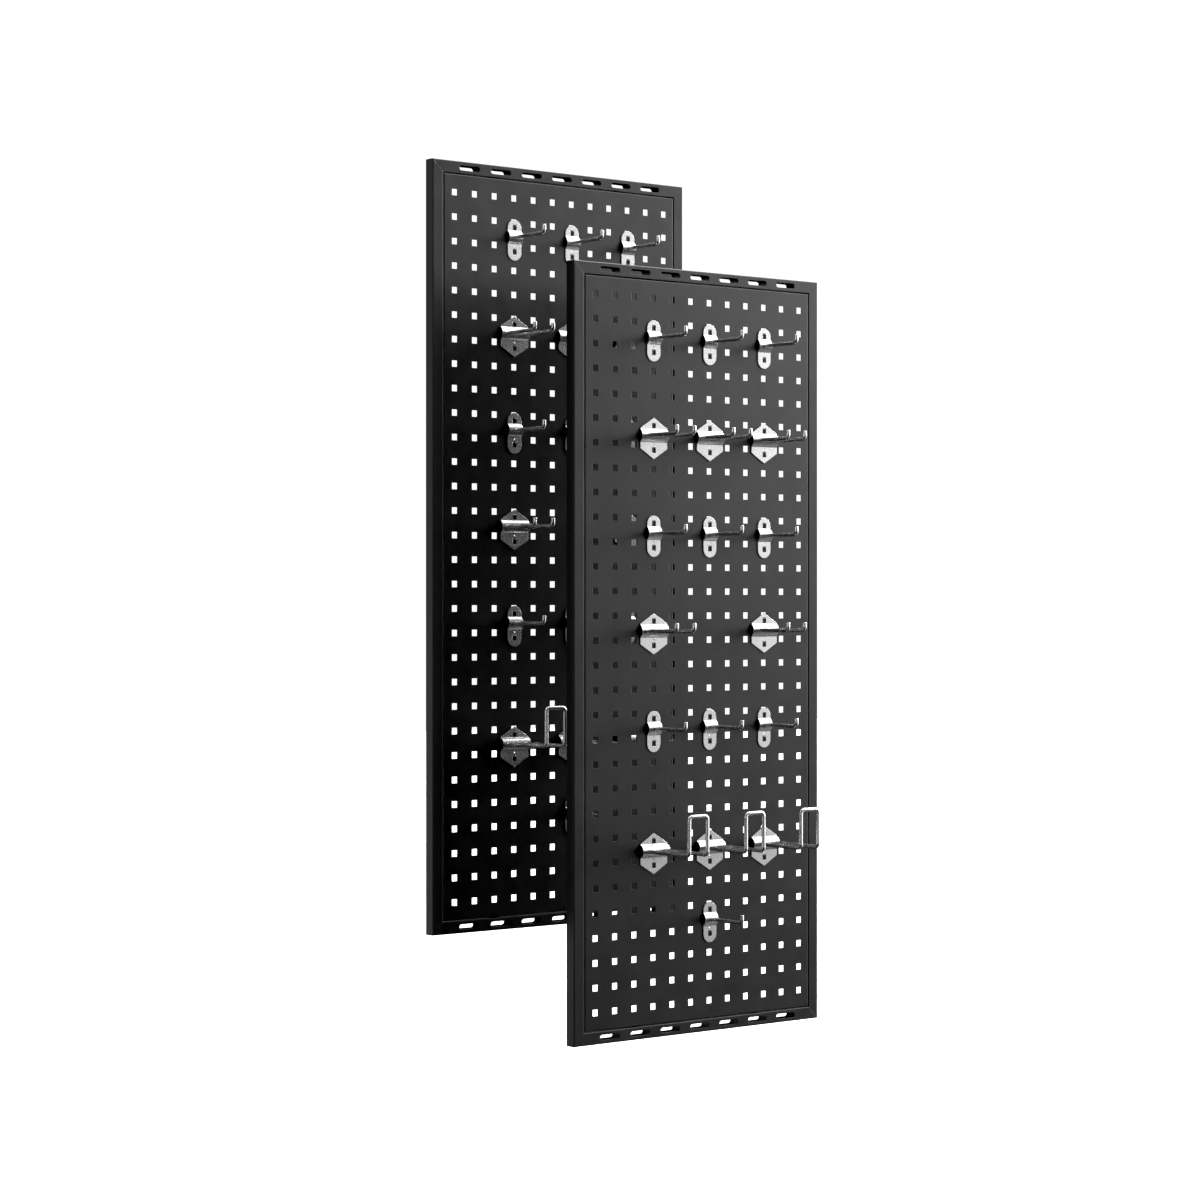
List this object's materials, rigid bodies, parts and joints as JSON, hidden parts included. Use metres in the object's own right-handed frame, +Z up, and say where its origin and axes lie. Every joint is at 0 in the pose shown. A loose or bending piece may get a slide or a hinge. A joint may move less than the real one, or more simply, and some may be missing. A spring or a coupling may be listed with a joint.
{
  "type": "pegboard tool wall",
  "caption": "Staggered pair of black perforated steel wall panels with slotted tube frames, carrying lift-off zinc tool hooks with single prongs, double prongs and standing hoops.",
  "frame": {"origin": "on the wall side of the front panel's tube frame, in the middle of its wall slots", "axes": "+Z up, +X to the right as the user sees the panel, -Y out of the wall towards the user"},
  "size_m": [0.6385, 0.3098, 1.3635],
  "materials": {
    "powder_coat": "semi-gloss black powder coat, very finely textured",
    "bright_zinc": "bright zinc plate, slightly satin"
  },
  "bodies": {
    "root": {"front_top_rail": "powder_coat", "front_bottom_rail": "powder_coat", "front_left_stile": "powder_coat", "front_right_stile": "powder_coat", "front_perforated_tray": "powder_coat", "rear_top_rail": "powder_coat", "rear_bottom_rail": "powder_coat", "rear_left_stile": "powder_coat", "rear_right_stile": "powder_coat", "rear_perforated_tray": "powder_coat"},
    "front_single_hook_row02_column04": {"front_single_hook_row02_column04": "bright_zinc"},
    "front_single_hook_row02_column07": {"front_single_hook_row02_column07": "bright_zinc"},
    "front_single_hook_row02_column10": {"front_single_hook_row02_column10": "bright_zinc"},
    "front_double_hook_row06_column04": {"front_double_hook_row06_column04": "bright_zinc"},
    "front_double_hook_row06_column07": {"front_double_hook_row06_column07": "bright_zinc"},
    "front_double_hook_row06_column10": {"front_double_hook_row06_column10": "bright_zinc"},
    "front_single_hook_row10_column04": {"front_single_hook_row10_column04": "bright_zinc"},
    "front_single_hook_row10_column07": {"front_single_hook_row10_column07": "bright_zinc"},
    "front_single_hook_row10_column10": {"front_single_hook_row10_column10": "bright_zinc"},
    "front_double_hook_row14_column04": {"front_double_hook_row14_column04": "bright_zinc"},
    "front_double_hook_row14_column10": {"front_double_hook_row14_column10": "bright_zinc"},
    "front_single_hook_row18_column04": {"front_single_hook_row18_column04": "bright_zinc"},
    "front_single_hook_row18_column07": {"front_single_hook_row18_column07": "bright_zinc"},
    "front_single_hook_row18_column10": {"front_single_hook_row18_column10": "bright_zinc"},
    "front_hoop_hook_row23_column04": {"front_hoop_hook_row23_column04": "bright_zinc"},
    "front_hoop_hook_row23_column07": {"front_hoop_hook_row23_column07": "bright_zinc"},
    "front_hoop_hook_row23_column10": {"front_hoop_hook_row23_column10": "bright_zinc"},
    "front_single_hook_row26_column07": {"front_single_hook_row26_column07": "bright_zinc"},
    "rear_single_hook_row02_column04": {"rear_single_hook_row02_column04": "bright_zinc"},
    "rear_single_hook_row02_column07": {"rear_single_hook_row02_column07": "bright_zinc"},
    "rear_single_hook_row02_column10": {"rear_single_hook_row02_column10": "bright_zinc"},
    "rear_double_hook_row06_column04": {"rear_double_hook_row06_column04": "bright_zinc"},
    "rear_double_hook_row06_column07": {"rear_double_hook_row06_column07": "bright_zinc"},
    "rear_double_hook_row06_column10": {"rear_double_hook_row06_column10": "bright_zinc"},
    "rear_single_hook_row10_column04": {"rear_single_hook_row10_column04": "bright_zinc"},
    "rear_single_hook_row10_column07": {"rear_single_hook_row10_column07": "bright_zinc"},
    "rear_single_hook_row10_column10": {"rear_single_hook_row10_column10": "bright_zinc"},
    "rear_double_hook_row14_column04": {"rear_double_hook_row14_column04": "bright_zinc"},
    "rear_double_hook_row14_column10": {"rear_double_hook_row14_column10": "bright_zinc"},
    "rear_single_hook_row18_column04": {"rear_single_hook_row18_column04": "bright_zinc"},
    "rear_single_hook_row18_column07": {"rear_single_hook_row18_column07": "bright_zinc"},
    "rear_single_hook_row18_column10": {"rear_single_hook_row18_column10": "bright_zinc"},
    "rear_hoop_hook_row23_column04": {"rear_hoop_hook_row23_column04": "bright_zinc"},
    "rear_hoop_hook_row23_column07": {"rear_hoop_hook_row23_column07": "bright_zinc"},
    "rear_hoop_hook_row23_column10": {"rear_hoop_hook_row23_column10": "bright_zinc"},
    "rear_single_hook_row26_column07": {"rear_single_hook_row26_column07": "bright_zinc"}
  },
  "joints": [
    {"name": "front_single_hook_row02_column04_lift", "type": "slide", "parent": "root", "child": "front_single_hook_row02_column04", "axis": [0, 0, 1], "range_m": [0, 0.008]},
    {"name": "front_single_hook_row02_column07_lift", "type": "slide", "parent": "root", "child": "front_single_hook_row02_column07", "axis": [0, 0, 1], "range_m": [0, 0.008]},
    {"name": "front_single_hook_row02_column10_lift", "type": "slide", "parent": "root", "child": "front_single_hook_row02_column10", "axis": [0, 0, 1], "range_m": [0, 0.008]},
    {"name": "front_double_hook_row06_column04_lift", "type": "slide", "parent": "root", "child": "front_double_hook_row06_column04", "axis": [0, 0, 1], "range_m": [0, 0.008]},
    {"name": "front_double_hook_row06_column07_lift", "type": "slide", "parent": "root", "child": "front_double_hook_row06_column07", "axis": [0, 0, 1], "range_m": [0, 0.008]},
    {"name": "front_double_hook_row06_column10_lift", "type": "slide", "parent": "root", "child": "front_double_hook_row06_column10", "axis": [0, 0, 1], "range_m": [0, 0.008]},
    {"name": "front_single_hook_row10_column04_lift", "type": "slide", "parent": "root", "child": "front_single_hook_row10_column04", "axis": [0, 0, 1], "range_m": [0, 0.008]},
    {"name": "front_single_hook_row10_column07_lift", "type": "slide", "parent": "root", "child": "front_single_hook_row10_column07", "axis": [0, 0, 1], "range_m": [0, 0.008]},
    {"name": "front_single_hook_row10_column10_lift", "type": "slide", "parent": "root", "child": "front_single_hook_row10_column10", "axis": [0, 0, 1], "range_m": [0, 0.008]},
    {"name": "front_double_hook_row14_column04_lift", "type": "slide", "parent": "root", "child": "front_double_hook_row14_column04", "axis": [0, 0, 1], "range_m": [0, 0.008]},
    {"name": "front_double_hook_row14_column10_lift", "type": "slide", "parent": "root", "child": "front_double_hook_row14_column10", "axis": [0, 0, 1], "range_m": [0, 0.008]},
    {"name": "front_single_hook_row18_column04_lift", "type": "slide", "parent": "root", "child": "front_single_hook_row18_column04", "axis": [0, 0, 1], "range_m": [0, 0.008]},
    {"name": "front_single_hook_row18_column07_lift", "type": "slide", "parent": "root", "child": "front_single_hook_row18_column07", "axis": [0, 0, 1], "range_m": [0, 0.008]},
    {"name": "front_single_hook_row18_column10_lift", "type": "slide", "parent": "root", "child": "front_single_hook_row18_column10", "axis": [0, 0, 1], "range_m": [0, 0.008]},
    {"name": "front_hoop_hook_row23_column04_lift", "type": "slide", "parent": "root", "child": "front_hoop_hook_row23_column04", "axis": [0, 0, 1], "range_m": [0, 0.008]},
    {"name": "front_hoop_hook_row23_column07_lift", "type": "slide", "parent": "root", "child": "front_hoop_hook_row23_column07", "axis": [0, 0, 1], "range_m": [0, 0.008]},
    {"name": "front_hoop_hook_row23_column10_lift", "type": "slide", "parent": "root", "child": "front_hoop_hook_row23_column10", "axis": [0, 0, 1], "range_m": [0, 0.008]},
    {"name": "front_single_hook_row26_column07_lift", "type": "slide", "parent": "root", "child": "front_single_hook_row26_column07", "axis": [0, 0, 1], "range_m": [0, 0.008]},
    {"name": "rear_single_hook_row02_column04_lift", "type": "slide", "parent": "root", "child": "rear_single_hook_row02_column04", "axis": [0, 0, 1], "range_m": [0, 0.008]},
    {"name": "rear_single_hook_row02_column07_lift", "type": "slide", "parent": "root", "child": "rear_single_hook_row02_column07", "axis": [0, 0, 1], "range_m": [0, 0.008]},
    {"name": "rear_single_hook_row02_column10_lift", "type": "slide", "parent": "root", "child": "rear_single_hook_row02_column10", "axis": [0, 0, 1], "range_m": [0, 0.008]},
    {"name": "rear_double_hook_row06_column04_lift", "type": "slide", "parent": "root", "child": "rear_double_hook_row06_column04", "axis": [0, 0, 1], "range_m": [0, 0.008]},
    {"name": "rear_double_hook_row06_column07_lift", "type": "slide", "parent": "root", "child": "rear_double_hook_row06_column07", "axis": [0, 0, 1], "range_m": [0, 0.008]},
    {"name": "rear_double_hook_row06_column10_lift", "type": "slide", "parent": "root", "child": "rear_double_hook_row06_column10", "axis": [0, 0, 1], "range_m": [0, 0.008]},
    {"name": "rear_single_hook_row10_column04_lift", "type": "slide", "parent": "root", "child": "rear_single_hook_row10_column04", "axis": [0, 0, 1], "range_m": [0, 0.008]},
    {"name": "rear_single_hook_row10_column07_lift", "type": "slide", "parent": "root", "child": "rear_single_hook_row10_column07", "axis": [0, 0, 1], "range_m": [0, 0.008]},
    {"name": "rear_single_hook_row10_column10_lift", "type": "slide", "parent": "root", "child": "rear_single_hook_row10_column10", "axis": [0, 0, 1], "range_m": [0, 0.008]},
    {"name": "rear_double_hook_row14_column04_lift", "type": "slide", "parent": "root", "child": "rear_double_hook_row14_column04", "axis": [0, 0, 1], "range_m": [0, 0.008]},
    {"name": "rear_double_hook_row14_column10_lift", "type": "slide", "parent": "root", "child": "rear_double_hook_row14_column10", "axis": [0, 0, 1], "range_m": [0, 0.008]},
    {"name": "rear_single_hook_row18_column04_lift", "type": "slide", "parent": "root", "child": "rear_single_hook_row18_column04", "axis": [0, 0, 1], "range_m": [0, 0.008]},
    {"name": "rear_single_hook_row18_column07_lift", "type": "slide", "parent": "root", "child": "rear_single_hook_row18_column07", "axis": [0, 0, 1], "range_m": [0, 0.008]},
    {"name": "rear_single_hook_row18_column10_lift", "type": "slide", "parent": "root", "child": "rear_single_hook_row18_column10", "axis": [0, 0, 1], "range_m": [0, 0.008]},
    {"name": "rear_hoop_hook_row23_column04_lift", "type": "slide", "parent": "root", "child": "rear_hoop_hook_row23_column04", "axis": [0, 0, 1], "range_m": [0, 0.008]},
    {"name": "rear_hoop_hook_row23_column07_lift", "type": "slide", "parent": "root", "child": "rear_hoop_hook_row23_column07", "axis": [0, 0, 1], "range_m": [0, 0.008]},
    {"name": "rear_hoop_hook_row23_column10_lift", "type": "slide", "parent": "root", "child": "rear_hoop_hook_row23_column10", "axis": [0, 0, 1], "range_m": [0, 0.008]},
    {"name": "rear_single_hook_row26_column07_lift", "type": "slide", "parent": "root", "child": "rear_single_hook_row26_column07", "axis": [0, 0, 1], "range_m": [0, 0.008]}
  ]
}
